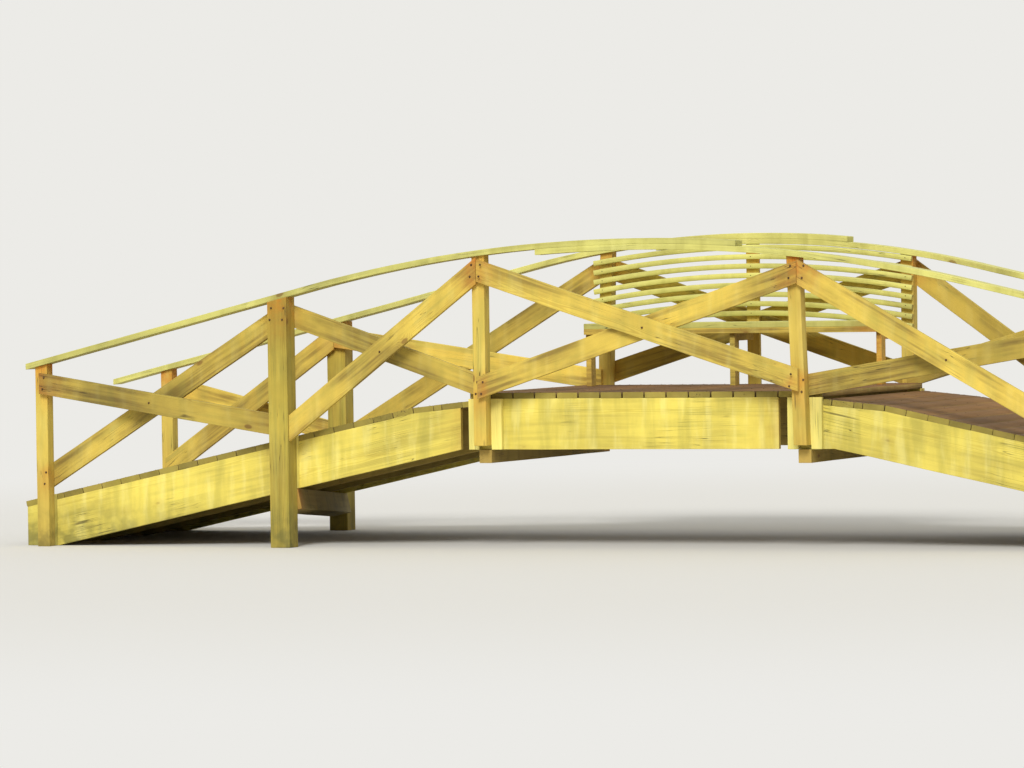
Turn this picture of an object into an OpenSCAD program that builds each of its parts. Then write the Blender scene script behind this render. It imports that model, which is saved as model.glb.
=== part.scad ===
// Timber footbridge: two ramps up to a short level span, X-braced sides,
// bent top rails and a slatted bench. X runs along the bridge, the near side
// faces -Y, Z is up, and the origin is on the ground under the middle.
// The far side is the near side turned half a turn about Z.

/* [Layout] */
// Distance between the posts of the level span
span = 2234; // [2000:1:2600]
// Level run of each ramp, from a span post to its foot
ramp_run = 3417; // [3200:1:3600]
// Height that each ramp's underside falls, from its head to the ramp's end
ramp_drop = 700; // [600:1:760]
// Length at each ramp's head where the deck eases towards the level
ease_run = 415; // [200:1:600]
// Rise of the deck over that length
ease_rise = 44; // [20:1:80]
// Height of the span beams' underside above the ground
span_z = 650; // [560:1:700]
// Distance of a pile bent from the span post, on the centre line
bent_run = 1736; // [1600:1:1850]
// Shift along the bridge from a bent's near pile to its far pile
bent_skew = 595; // [200:1:700]
// Width over the outer faces of the side beams
deck_w = 2098; // [1800:1:2300]
// Distance that one end post of each side stands inside the other's line
end_skew = 140; // [0:1:300]

/* [Timber] */
// Thickness of every sawn board
board_t = 38; // [30:1:44]
// Section of the square guard posts and cross beams
post_w = 89; // [75:1:110]
// Section of the square piles and caps
pile_w = 140; // [120:1:160]
// Width of the brace boards
brace_w = 140; // [110:1:160]
// Width of the joint plates at the span posts
plate_w = 235; // [180:1:260]
// Depth of the ramp beams and joists
ramp_beam_h = 308; // [260:1:320]
// Depth of the span beams and joists
span_beam_h = 337; // [320:1:380]
// Gap between a side beam's end and the joint plate
beam_gap = 72; // [5:1:90]
// Gap between butted boards
butt_gap = 2; // [1:0.5:6]
// Height of the span posts' feet above the span beams' underside
foot_rise = 28; // [5:1:60]

/* [Deck] */
// Width of the deck planks
plank_w = 140; // [120:1:190]
// Least gap between deck planks
plank_gap = 7; // [3:1:15]

/* [Braces] */
// Distance from a rail's underside down to the middle of a brace's head
brace_drop = 96; // [92:1:130]
// The same distance at the end posts
brace_drop_end = 120; // [96:1:160]
// Height of a brace's low end above the beam's underside, at a span post
brace_low_span = 412; // [390:1:480]
// Height of a brace's low end above the beam's underside, on a pile's span side
brace_low_in = 420; // [400:1:480]
// Height of a brace's low end above the beam's underside, on a pile's end side
brace_low_out = 450; // [400:1:500]
// Height of a brace's low end above the beam's underside, at an end post
brace_low_end = 476; // [440:1:520]

/* [Rails] */
// Height of the near rail's top above the ground, at mid span
near_rail_z = 2033; // [1950:1:2100]
// Radius of the near rail's bend
near_rail_r = 9950; // [8000:10:14000]
// Height of the far rail's top above the ground, at mid span
far_rail_z = 2066; // [1980:1:2130]
// Radius of the far rail's bend
far_rail_r = 7050; // [6500:10:14000]
// Fall of the rail along the ramps, per metre
rail_fall = 240; // [200:1:270]
// Width of the rail boards
rail_w = 140; // [110:1:160]
// Reach of each rail board past mid span, where the two boards lap
rail_lap = 700; // [500:1:900]
// Length of the rail past its inner end post
rail_over = 60; // [0:1:200]
// Length of the rail past its outer end post
rail_tail = 370; // [0:1:500]
// Lean of the right-hand span post, in degrees
post_lean = 1.7; // [0:0.1:3]

/* [Bench] */
// Number of back slats
slat_n = 8; // [5:1:8]
// Section of the square back slats
slat_w = 36; // [30:1:42]
// Spacing of the back slats
slat_pitch = 65; // [60:1:68]
// Gap between the rail and the top slat
slat_top_gap = 4; // [2:1:40]
// Height of the seat above the deck
seat_h = 432; // [380:1:440]
// Width of a seat board
seat_board_w = 140; // [100:1:150]
// Number of seat boards
seat_n = 3; // [2:1:3]
// Depth of the bench bearers
bearer_h = 89; // [64:1:100]
// Number of bench frames
frame_n = 3; // [2:1:4]

/* [Hidden] */
half_w = deck_w / 2;
half_l = span / 2 + ramp_run;
post_x = span / 2;
head_x = post_x + plate_w / 2 + beam_gap;
ease_x = post_x + plate_w / 2 + ease_run;
slope = ramp_drop / (half_l - head_x);
ramp_a = atan(slope);
ramp_h = ramp_beam_h / cos(ramp_a);
plank_h = board_t / cos(ramp_a);
deck_z = span_z + span_beam_h + board_t;
toe_x = head_x + span_z / slope;
end_x = half_l - post_w / 2;
inner_end_x = end_x - end_skew;
near_pile_x = post_x + bent_run - bent_skew / 2;
far_pile_x = post_x + bent_run + bent_skew / 2;
joist_y = deck_w / 6;
post_s = board_t;
face_s = post_s + post_w;
rail_s = post_s + (post_w - rail_w) / 2;
rail_a = atan(rail_fall / 1000);
rail_seg = 15;
near_rail = [near_rail_z, near_rail_r];
far_rail = [far_rail_z, far_rail_r];
inner_reach = inner_end_x + post_w / 2 + rail_over;
outer_reach = half_l + rail_tail;
brace_clear = 1.8;
brace_bow = (board_t + brace_clear) / 2;
bow_seg = 8;
seat_z = deck_z + seat_h;
seat_gap = 6;
seat_d = seat_n * seat_board_w + (seat_n - 1) * seat_gap;
pine = "#c9b25e";
olive = "#9a9a58";
amber = "#b98a4a";

// Underside of the beams at x
function ramp_z(x) = span_z - max(0, abs(x) - head_x) * slope;

// Top of the ramp beams at x, eased towards the level at the ramp's head
function ramp_top(x) =
    ramp_z(max(abs(x), ease_x)) + ramp_h + max(0, ease_x - abs(x)) * ease_rise / ease_run;

// Board whose outline lies in the XZ plane, s0 outside the near beam face
module side_board(points, s0, thick) {
    translate([0, -(half_w + s0), 0])
        rotate([90, 0, 0])
            linear_extrude(height = thick)
                polygon(points);
}

// Prism of an XZ outline that runs across the bridge between two y values
module cross_prism(points, y0, y1) {
    translate([0, y1, 0])
        rotate([90, 0, 0])
            linear_extrude(height = y1 - y0)
                polygon(points);
}

// The same thing on the far side
module turned() {
    rotate([0, 0, 180]) children();
}

// Outline of a ramp beam between two x values on one ramp, with a level foot
// on the ground
function ramp_outline(x_low, x_high, side) = [
    if (x_low > toe_x) [side * x_low, 0],
    if (x_low > toe_x) [side * toe_x, 0],
    if (x_low <= toe_x) [side * x_low, ramp_z(x_low)],
    if (x_high < head_x) [side * head_x, span_z],
    [side * x_high, ramp_z(x_high)],
    [side * x_high, ramp_top(x_high)],
    if (x_high < ease_x && x_low > ease_x) [side * ease_x, ramp_top(ease_x)],
    [side * x_low, ramp_top(x_low)]
];

// Half length of a rail's bent stretch, at a depth below its top
function arc_x(depth, rail) = (rail[1] - depth) * sin(rail_a);

// Height of a rail's top at x, less a depth, bent over the middle and
// straight along the ramps; a rail is [height at mid span, radius]
function rail_line(x, depth, rail) =
    let (r = rail[1] - depth, c = rail[0] - rail[1], x_arc = arc_x(depth, rail))
    abs(x) < x_arc ? c + sqrt(r * r - x * x)
                   : c + r * cos(rail_a) - (abs(x) - x_arc) * tan(rail_a);

// Stations along a rail between two x values
function stations(x0, x1, rail) = concat(
    [x0],
    [for (i = [-rail_seg : rail_seg])
        let (x = arc_x(0, rail) * i / rail_seg) if (x > x0 && x < x1) x],
    [x1]);

// Outline of a bent board between two depths below a rail's top
function bent_outline(x0, x1, top, low, rail) =
    let (xs = stations(x0, x1, rail), n = len(xs))
    concat([for (x = xs) [x, rail_line(x, top, rail)]],
           [for (i = [n - 1 : -1 : 0]) [xs[i], rail_line(xs[i], low, rail)]]);

// Rail board laid on the posts, its top a depth below the rail's top
module rail_board(depth, x0, x1, rail) {
    color(olive)
        side_board(bent_outline(x0, x1, depth, depth + board_t, rail), rail_s, rail_w);
}

// Upright on the near side from z0 to a depth below the rail's top, whose
// head is shifted by the lean
module upright(x, w, z0, depth, rail, lean = 0) {
    head_x = x - tan(lean) * (rail_line(x, depth, rail) - z0);
    side_board([
        [x - w / 2, z0], [x + w / 2, z0],
        [head_x + w / 2, rail_line(head_x + w / 2, depth, rail)],
        [head_x - w / 2, rail_line(head_x - w / 2, depth, rail)]
    ], post_s, w);
}

// Brace outline between two points, with upright end cuts
function brace_outline(x0, z0, x1, z1) =
    let (h = brace_w / 2 / cos(atan((z1 - z0) / (x1 - x0))))
    [[x0, z0 - h], [x1, z1 - h], [x1, z1 + h], [x0, z0 + h]];

// Brace board on the near side
module brace(x0, z0, x1, z1, s0) {
    color(pine)
        side_board(brace_outline(x0, z0, x1, z1), s0, board_t);
}

// Offset of a sprung brace at x, flat over the posts and bowed between them
function bow_line(x) =
    let (c = (span - post_w) / 2)
    abs(x) < c ? brace_bow * (1 - pow(abs(x) / c, 3)) : 0;

// Plan of a sprung brace, bowed outwards or inwards past the one it crosses
function bow_outline(out) =
    let (c = (span - post_w) / 2,
         xs = concat([-span / 2], [for (i = [-bow_seg : bow_seg]) c * i / bow_seg], [span / 2]),
         n = len(xs))
    concat([for (x = xs) [x, out * bow_line(x)]],
           [for (i = [n - 1 : -1 : 0]) [xs[i], out * bow_line(xs[i]) + board_t]]);

// Span brace between two points
module bowed_brace(x0, z0, x1, z1, out) {
    color(pine)
        intersection() {
            side_board(brace_outline(x0, z0, x1, z1), face_s - board_t, 3 * board_t);
            mirror([0, 1, 0])
                translate([0, half_w + face_s, 0])
                    linear_extrude(height = 2 * deck_z)
                        polygon(bow_outline(out));
        }
}

// Side beams of the near side
module left_end_beam() {
    color(pine)
        side_board(ramp_outline(half_l, near_pile_x + butt_gap / 2, -1), -board_t, board_t);
}
module left_ramp_beam() {
    color(pine)
        side_board(ramp_outline(near_pile_x - butt_gap / 2, head_x, -1), -board_t, board_t);
}
module span_beam() {
    color(pine)
        side_board([
            [-post_x - plate_w / 2, span_z],
            [post_x - plate_w / 2 - beam_gap, span_z],
            [post_x - plate_w / 2 - beam_gap, span_z + span_beam_h],
            [-post_x - plate_w / 2, span_z + span_beam_h]
        ], -board_t, board_t);
}
module right_ramp_beam() {
    color(pine)
        side_board(ramp_outline(far_pile_x - butt_gap / 2, post_x - plate_w / 2, 1),
                   -board_t, board_t);
}
module right_end_beam() {
    color(pine)
        side_board(ramp_outline(half_l, far_pile_x + butt_gap / 2, 1), -board_t, board_t);
}

// Inner joists
module ramp_joists() {
    color(pine)
        for (y = [-joist_y, joist_y])
            cross_prism(ramp_outline(half_l - board_t, post_x + board_t / 2, -1),
                        y - board_t / 2, y + board_t / 2);
}
module span_joists() {
    color(pine)
        for (y = [-joist_y, joist_y])
            translate([-post_x + board_t / 2, y - board_t / 2, span_z])
                cube([span - board_t, board_t, span_beam_h]);
}

// Boards across the bridge at the ramp heads and feet
module header_boards() {
    color(pine)
        for (x = [-post_x, post_x])
            translate([x - board_t / 2, board_t - half_w, span_z])
                cube([board_t, deck_w - 2 * board_t, span_beam_h]);
}
module end_boards() {
    x0 = half_l - board_t;
    color(pine)
        for (side = [-1, 1])
            cross_prism([
                [side * x0, 0], [side * half_l, 0],
                [side * half_l, ramp_top(half_l)],
                [side * x0, ramp_top(x0)]
            ], board_t - half_w, half_w - board_t);
}

// Cross beam under the ramp head
module cross_beam() {
    reach_y = half_w + post_s;
    color(amber)
        translate([-post_x - post_w / 2, -reach_y, span_z - post_w])
            cube([post_w, 2 * reach_y, post_w]);
}

// Pile cap, skewed from pile to pile in the plane of the ramp's underside
module pile_cap() {
    cap_y = half_w + post_s;
    near_x = (head_x - near_pile_x) / cos(ramp_a);
    far_x = (head_x - far_pile_x) / cos(ramp_a);
    half_cap = pile_w / 2 / cos(atan((near_x - far_x) / (2 * cap_y)));
    color(amber)
        translate([-head_x, 0, span_z])
            rotate([0, -ramp_a, 0])
                translate([0, 0, -pile_w])
                    linear_extrude(height = pile_w)
                        polygon([
                            [near_x - half_cap, -cap_y], [near_x + half_cap, -cap_y],
                            [far_x + half_cap, cap_y], [far_x - half_cap, cap_y]
                        ]);
}

// Piles and posts of one side, whose heads lie a depth below the rail's top on
// the left-hand half and on the right-hand half
module left_pile(depth, rail) {
    color(amber) upright(-near_pile_x, pile_w, 0, depth, rail);
}
module right_pile(depth, rail) {
    color(amber) upright(far_pile_x, pile_w, 0, depth, rail);
}
module side_posts(left_depth, right_depth, rail) {
    foot_z = span_z + foot_rise;
    color(amber) {
        upright(-inner_end_x, post_w, 0, left_depth, rail);
        upright(-post_x, post_w, foot_z, left_depth, rail);
        upright(post_x, post_w, foot_z, right_depth, rail, post_lean);
        upright(end_x, post_w, 0, right_depth, rail);
    }
}

// Packing plate between a ramp beam and the upright at x
module ramp_plate(x, w) {
    z0 = [for (side = [-1, 1]) max(0, ramp_z(x + side * w / 2))];
    z1 = [for (side = [-1, 1]) ramp_top(x + side * w / 2) + plank_h];
    side_board([
        [x - w / 2, z0[0]], [x + w / 2, z0[1]],
        [x + w / 2, z1[1]], [x - w / 2, z1[0]]
    ], 0, board_t);
}

// Joint plate behind a span post, cut out under the post's foot
module joint_plate(x) {
    side_board([
        [x - plate_w / 2, span_z], [x - post_w / 2, span_z],
        [x - post_w / 2, span_z + foot_rise], [x + post_w / 2, span_z + foot_rise],
        [x + post_w / 2, span_z], [x + plate_w / 2, span_z],
        [x + plate_w / 2, deck_z - board_t], [x - plate_w / 2, deck_z - board_t]
    ], 0, board_t);
}
module side_plates() {
    color(pine) {
        ramp_plate(-inner_end_x, post_w);
        ramp_plate(-near_pile_x, pile_w);
        joint_plate(-post_x);
        joint_plate(post_x);
        ramp_plate(far_pile_x, pile_w);
        ramp_plate(end_x, post_w);
    }
}

// Middle of a brace's head at x, under a rail whose underside lies a depth
// below its top
function head_z(x, depth, rail) = rail_line(x, depth, rail) - brace_drop;

// Braces of one side: those that reach a pile's head pass behind it, and
// those that reach its foot butt on its side
module left_braces(depth, rail) {
    pile = near_pile_x;
    brace(-inner_end_x, ramp_z(inner_end_x) + brace_low_end,
          -pile - butt_gap / 2, head_z(pile, depth, rail), 0);
    brace(-inner_end_x, rail_line(inner_end_x, depth, rail) - brace_drop_end,
          -pile - pile_w / 2, ramp_z(pile) + brace_low_out, face_s);
    brace(-pile + butt_gap / 2, head_z(pile, depth, rail),
          -post_x, span_z + brace_low_span, 0);
    brace(-pile + pile_w / 2, ramp_z(pile) + brace_low_in,
          -post_x - butt_gap / 2, head_z(post_x, depth, rail), face_s);
}
module span_braces(left_depth, right_depth, rail) {
    bowed_brace(-post_x + butt_gap / 2, head_z(post_x, left_depth, rail),
                post_x, span_z + brace_low_span + board_t, 1);
    bowed_brace(-post_x, span_z + brace_low_span,
                post_x - butt_gap / 2, head_z(post_x, right_depth, rail), -1);
}
module right_braces(depth, rail) {
    pile = far_pile_x;
    brace(post_x + butt_gap / 2, head_z(post_x, depth, rail),
          pile - pile_w / 2, ramp_z(pile) + brace_low_in, face_s);
    brace(post_x, span_z + brace_low_span,
          pile - butt_gap / 2, head_z(pile, depth, rail), 0);
    brace(pile + butt_gap / 2, head_z(pile, depth, rail),
          end_x, ramp_z(end_x) + brace_low_end, 0);
    brace(pile + pile_w / 2, ramp_z(pile) + brace_low_out,
          end_x, rail_line(end_x, depth, rail) - brace_drop_end, face_s);
}

// Rail boards, which lap over or under each other at mid span
module left_rail(depth, rail) {
    rail_board(depth, -inner_reach, rail_lap, rail);
}
module right_rail(depth, rail) {
    rail_board(depth, -rail_lap, outer_reach, rail);
}

// Planks laid side by side from a point of the beams' top to a higher one
module plank_run(x0, z0, x1, z1) {
    run = norm([x1 - x0, z1 - z0]);
    count = floor((run + plank_gap) / (plank_w + plank_gap));
    step = (run + plank_gap) / count;
    color(olive)
        translate([x0, -half_w, z0])
            rotate([0, -atan((z1 - z0) / (x1 - x0)), 0])
                for (i = [0 : count - 1])
                    translate([i * step, 0, 0])
                        cube([plank_w, deck_w, board_t]);
}
module ramp_deck() {
    x_head = post_x + plate_w / 2;
    plank_run(-half_l, ramp_top(half_l), -ease_x, ramp_top(ease_x));
    plank_run(-ease_x + plank_gap, ramp_top(ease_x - plank_gap), -x_head, ramp_top(x_head));
}
module span_deck() {
    plank_run(-(span + plate_w) / 2, deck_z - board_t, (span + plate_w) / 2, deck_z - board_t);
}

// Bench against the far posts of the level span
module bench_back() {
    reach_x = (span + post_w) / 2;
    color(olive)
        for (i = [0 : slat_n - 1]) {
            top = 2 * board_t + slat_top_gap + i * slat_pitch;
            translate([0, half_w + board_t, 0])
                rotate([90, 0, 0])
                    linear_extrude(height = slat_w)
                        polygon(bent_outline(-reach_x, reach_x, top, top + slat_w, far_rail));
        }
}
module bench_seat() {
    color(olive)
        for (i = [0 : seat_n - 1])
            translate([-(span - post_w) / 2,
                       half_w - seat_d + i * (seat_board_w + seat_gap), seat_z - board_t])
                cube([span - post_w, seat_board_w, board_t]);
}
module bench_frames() {
    inset = post_w / 2 + board_t / 2;
    pitch = (span - 2 * inset) / (frame_n - 1);
    color(amber) {
        for (i = [0 : frame_n - 1])
            translate([-span / 2 + inset + i * pitch - board_t / 2, half_w - seat_d, 0]) {
                translate([0, board_t, seat_z - board_t - bearer_h])
                    cube([board_t, seat_d - board_t, bearer_h]);
                translate([0, board_t, deck_z])
                    cube([board_t, bearer_h, seat_h - board_t - bearer_h]);
            }
        translate([-(span - post_w) / 2, half_w - seat_d, seat_z - 2 * board_t])
            cube([span - post_w, board_t, board_t]);
    }
}
module middle_batten(z1, s0) {
    w = post_w / 2;
    color(amber)
        turned() side_board([[-w, span_z], [w, span_z], [w, z1], [-w, z1]], s0, board_t);
}

left_end_beam();  // near_left_end_beam
left_ramp_beam();  // near_left_ramp_beam
span_beam();  // near_span_beam
right_ramp_beam();  // near_right_ramp_beam
right_end_beam();  // near_right_end_beam
turned() right_end_beam();  // far_left_end_beam
turned() right_ramp_beam();  // far_left_ramp_beam
turned() span_beam();  // far_span_beam
turned() left_ramp_beam();  // far_right_ramp_beam
turned() left_end_beam();  // far_right_end_beam
ramp_joists();  // left_ramp_joists
span_joists();
turned() ramp_joists();  // right_ramp_joists
header_boards();
end_boards();
cross_beam();  // left_cross_beam
turned() cross_beam();  // right_cross_beam
pile_cap();  // left_pile_cap
turned() pile_cap();  // right_pile_cap
left_pile(board_t, near_rail);  // near_left_pile
right_pile(2 * board_t, near_rail);  // near_right_pile
turned() right_pile(board_t, far_rail);  // far_left_pile
turned() left_pile(2 * board_t, far_rail);  // far_right_pile
side_posts(board_t, 2 * board_t, near_rail);  // near_posts
union() {  // far_posts
    turned() side_posts(2 * board_t, board_t, far_rail);
    middle_batten(rail_line(post_w / 2, 2 * board_t, far_rail), post_s);
}
side_plates();  // near_plates
union() {  // far_plates
    turned() side_plates();
    middle_batten(deck_z, 0);
}
left_braces(board_t, near_rail);  // near_left_braces
span_braces(board_t, 2 * board_t, near_rail);  // near_span_braces
right_braces(2 * board_t, near_rail);  // near_right_braces
turned() right_braces(board_t, far_rail);  // far_left_braces
union() {  // far_span_braces
    turned() span_braces(2 * board_t, board_t, far_rail);
}
turned() left_braces(2 * board_t, far_rail);  // far_right_braces
left_rail(0, near_rail);  // near_left_rail
right_rail(board_t, near_rail);  // near_right_rail
turned() right_rail(0, far_rail);  // far_left_rail
turned() left_rail(board_t, far_rail);  // far_right_rail
ramp_deck();  // left_ramp_deck
span_deck();
turned() ramp_deck();  // right_ramp_deck
bench_back();
bench_seat();
bench_frames();
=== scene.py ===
"""Looks of the timber footbridge: weathered pine boards, bolts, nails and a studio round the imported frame."""
import logging
import math
import random
from dataclasses import dataclass, field
from enum import Enum
from functools import partial
from typing import Any, Callable, Sequence

import bmesh
import bpy
import numpy as np
from mathutils import Matrix, Vector, noise


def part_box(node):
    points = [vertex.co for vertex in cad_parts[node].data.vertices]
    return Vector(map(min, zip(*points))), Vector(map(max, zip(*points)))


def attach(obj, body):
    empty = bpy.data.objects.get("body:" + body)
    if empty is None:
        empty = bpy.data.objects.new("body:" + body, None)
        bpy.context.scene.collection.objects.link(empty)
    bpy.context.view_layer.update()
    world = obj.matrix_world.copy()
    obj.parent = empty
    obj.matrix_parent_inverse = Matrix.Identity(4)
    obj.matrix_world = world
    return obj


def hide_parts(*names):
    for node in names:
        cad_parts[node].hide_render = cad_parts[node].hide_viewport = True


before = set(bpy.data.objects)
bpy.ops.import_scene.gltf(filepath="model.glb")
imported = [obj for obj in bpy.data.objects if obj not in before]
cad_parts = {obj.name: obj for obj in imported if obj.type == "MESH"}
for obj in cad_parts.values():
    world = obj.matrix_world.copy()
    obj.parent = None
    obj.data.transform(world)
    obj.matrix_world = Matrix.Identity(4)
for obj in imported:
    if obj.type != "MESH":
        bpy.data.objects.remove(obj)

log = logging.getLogger("footbridge")
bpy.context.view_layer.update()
MM_IN_M = 1000.0
SAWN_END = 0.75  # a face that looks along its board by more than this is a sawn end
JUST_ABOVE = 0.0002  # small heads stand this far off the wood, in metres


class Side(Enum):
    """The two long sides of the bridge, by the sign of their Y."""

    NEAR = -1
    FAR = 1

    @property
    def word(self) -> str:
        """Name of the side as the nodes have it."""
        return self.name.lower()


class Grain(Enum):
    """How the grain lies in a board."""

    STRAIGHT = "straight"
    BENT = "bent"


class Kind(Enum):
    """Nodes used again and again: type, options, sockets filled in turn, socket handed on."""

    PLUS = ("ShaderNodeMath", {"operation": "ADD"}, (0, 1), 0)
    MINUS = ("ShaderNodeMath", {"operation": "SUBTRACT"}, (0, 1), 0)
    TIMES = ("ShaderNodeMath", {"operation": "MULTIPLY"}, (0, 1), 0)
    LARGER = ("ShaderNodeMath", {"operation": "MAXIMUM"}, (0, 1), 0)
    BELOW = ("ShaderNodeMath", {"operation": "LESS_THAN"}, (0, 1), 0)
    ABOVE = ("ShaderNodeMath", {"operation": "GREATER_THAN"}, (0, 1), 0)
    SIZE = ("ShaderNodeMath", {"operation": "ABSOLUTE"}, (0,), 0)
    ROOT = ("ShaderNodeMath", {"operation": "SQRT"}, (0,), 0)
    SINE = ("ShaderNodeMath", {"operation": "SINE"}, (0,), 0)
    STEP = ("ShaderNodeMapRange", {"interpolation_type": "SMOOTHSTEP"}, (0, 1, 2), 0)
    LIFT = ("ShaderNodeMapRange", {"clamp": False}, (0, 3, 4), 0)
    BLEND = ("ShaderNodeMix", {"data_type": "RGBA"}, (0, 6, 7), 2)
    NOISE = ("ShaderNodeTexNoise", {}, ("Vector", "Scale", "Detail"), 0)
    STRETCH = ("ShaderNodeVectorMath", {"operation": "MULTIPLY"}, (0, 1), 0)
    TOGETHER = ("ShaderNodeVectorMath", {"operation": "ADD"}, (0, 1), 0)
    APART = ("ShaderNodeVectorMath", {"operation": "SUBTRACT"}, (0, 1), 0)
    LENGTH = ("ShaderNodeVectorMath", {"operation": "LENGTH"}, (0,), 1)
    SPLIT = ("ShaderNodeSeparateXYZ", {}, (0,), 0)
    JOIN = ("ShaderNodeCombineXYZ", {}, (0, 1, 2), 0)
    READ = ("GeometryNodeInputNamedAttribute", {"data_type": "FLOAT_VECTOR"}, ("Name",), 0)
    MARK = ("GeometryNodeStoreNamedAttribute", {"data_type": "FLOAT", "domain": "POINT"},
            (0, "Name", "Value"), 0)
    MARK_VECTOR = ("GeometryNodeStoreNamedAttribute", {"data_type": "FLOAT_VECTOR", "domain": "POINT"},
                   (0, "Name", "Value"), 0)
    DRAW = ("FunctionNodeRandomValue", {"data_type": "FLOAT"}, ("Seed", "ID"), 1)
    DRAW_VECTOR = ("FunctionNodeRandomValue", {"data_type": "FLOAT_VECTOR"}, (0, 1, "Seed", "ID"), 0)


class Pattern(Enum):
    """Noise on weathered wood: patches a metre along each axis, octaves, and the noise where a patch
    starts and is full.

    The counts a metre are worked out from the sizes in the comments. A pattern of the grain is read along
    the board and across it, and one of the weather along X, Y and Z.
    """

    STREAK = ((0.9, 24.0, 24.0), 4.0, 0.44, 0.66)  # grain: silvered streaks 1.1 m long, 42 mm wide
    VEIN = ((1.5, 40.0, 40.0), 5.0, 0.38, 0.64)  # grain: brown veins 670 mm long, 25 mm wide
    AGED = ((1.7, 5.0, 5.0), 6.0, 0.38, 0.62)  # grain: sun-browned patches 590 mm long, 200 mm wide
    FIBRE = ((9.0, 420.0, 420.0), 2.0)  # grain: fibres 2.4 mm apart, since real ones are too fine to show
    WANDER = ((1.2, 7.0, 7.0), 2.0)  # grain: the rings drift over 830 mm along, 140 mm across
    CHECK = ((1.3, 38.0, 38.0), 1.0)  # grain: drying checks about 770 mm long, 26 mm apart
    RUN = ((11.0, 11.0, 1.7), 4.0, 0.46, 0.72)  # weather: green runs 90 mm wide, 590 mm tall
    BLEACH = ((15.0, 15.0, 2.6), 4.0, 0.46, 0.74)  # weather: pale runs 67 mm wide, 385 mm tall
    PATCH = ((9.0, 9.0, 9.0), 4.0, 0.38, 0.62)  # weather: soiling 110 mm across
    CLOUD = ((2.4, 2.4, 2.4), 3.0)  # weather: exposed areas 420 mm across
    DIRT = ((3.1, 3.1, 3.1), 5.0)  # weather: light and dark areas 320 mm across
    RUST = ((60.0, 60.0, 60.0), 4.0, 0.42, 0.6)  # steel: rust spots 17 mm across


def linear(code: str) -> tuple[float, float, float, float]:
    """Turns a hex sRGB colour into linear light.

    Args:
        code: Colour such as "#c9b25e".

    Returns:
        Linear red, green and blue with an alpha of 1.
    """
    parts = [int(code[i:i + 2], 16) / 255 for i in (1, 3, 5)]
    return (*[c / 12.92 if c <= 0.04045 else ((c + 0.055) / 1.055) ** 2.4 for c in parts], 1.0)


def add_node(tree: bpy.types.NodeTree, kind: Kind | str, *feeds: Any, out: int | str | None = None,
             **options: Any) -> bpy.types.NodeSocket | None:
    """Adds a node with its options and links, and hands on one of its outputs.

    Args:
        tree: Tree that gets the node.
        kind: One of the kinds above, or a node's type name.
        feeds: Values or sockets for the inputs in turn, or one dict of them by input. A list links them all.
        out: Output to hand on, if it isn't the kind's own.
        options: The node's own options.

    Returns:
        The output socket, or None for a node that ends a tree.
    """
    name, fixed, order, own = kind.value if isinstance(kind, Kind) else (kind, {}, range(len(feeds)), 0)
    node = tree.nodes.new(name)
    for key, value in (fixed | options).items():
        setattr(node, key, value)
    named = bool(feeds) and isinstance(feeds[0], dict)
    for key, value in (feeds[0] if named else dict(zip(order, feeds))).items():
        for each in value if isinstance(value, list) else [value]:
            if isinstance(each, bpy.types.NodeSocket):
                tree.links.new(each, node.inputs[key])
            else:
                node.inputs[key].default_value = each
    return node.outputs[own if out is None else out] if len(node.outputs) else None


def new_material(name: str) -> tuple[bpy.types.Material, Callable[..., Any]]:
    """Starts a material.

    Args:
        name: The real finish's name.

    Returns:
        The material, and the call that adds nodes to its empty tree.
    """
    material = bpy.data.materials.new(name)
    material.use_nodes = True
    material.node_tree.nodes.clear()
    return material, partial(add_node, material.node_tree)


def lay(add: Callable[..., Any], place: bpy.types.NodeSocket, pattern: Pattern) -> bpy.types.NodeSocket:
    """Lays one of the patterns on a finish.

    Args:
        add: The call that adds nodes to the finish.
        place: Where the pattern is read, in metres.
        pattern: The pattern.

    Returns:
        The patches from 0 to 1, or the bare noise of about 0.5 where the pattern has no limits.
    """
    rate, octaves, *limits = pattern.value
    value = add(Kind.NOISE, add(Kind.STRETCH, place, rate), 1.0, octaves)
    return add(Kind.STEP, value, *limits) if limits else value


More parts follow.
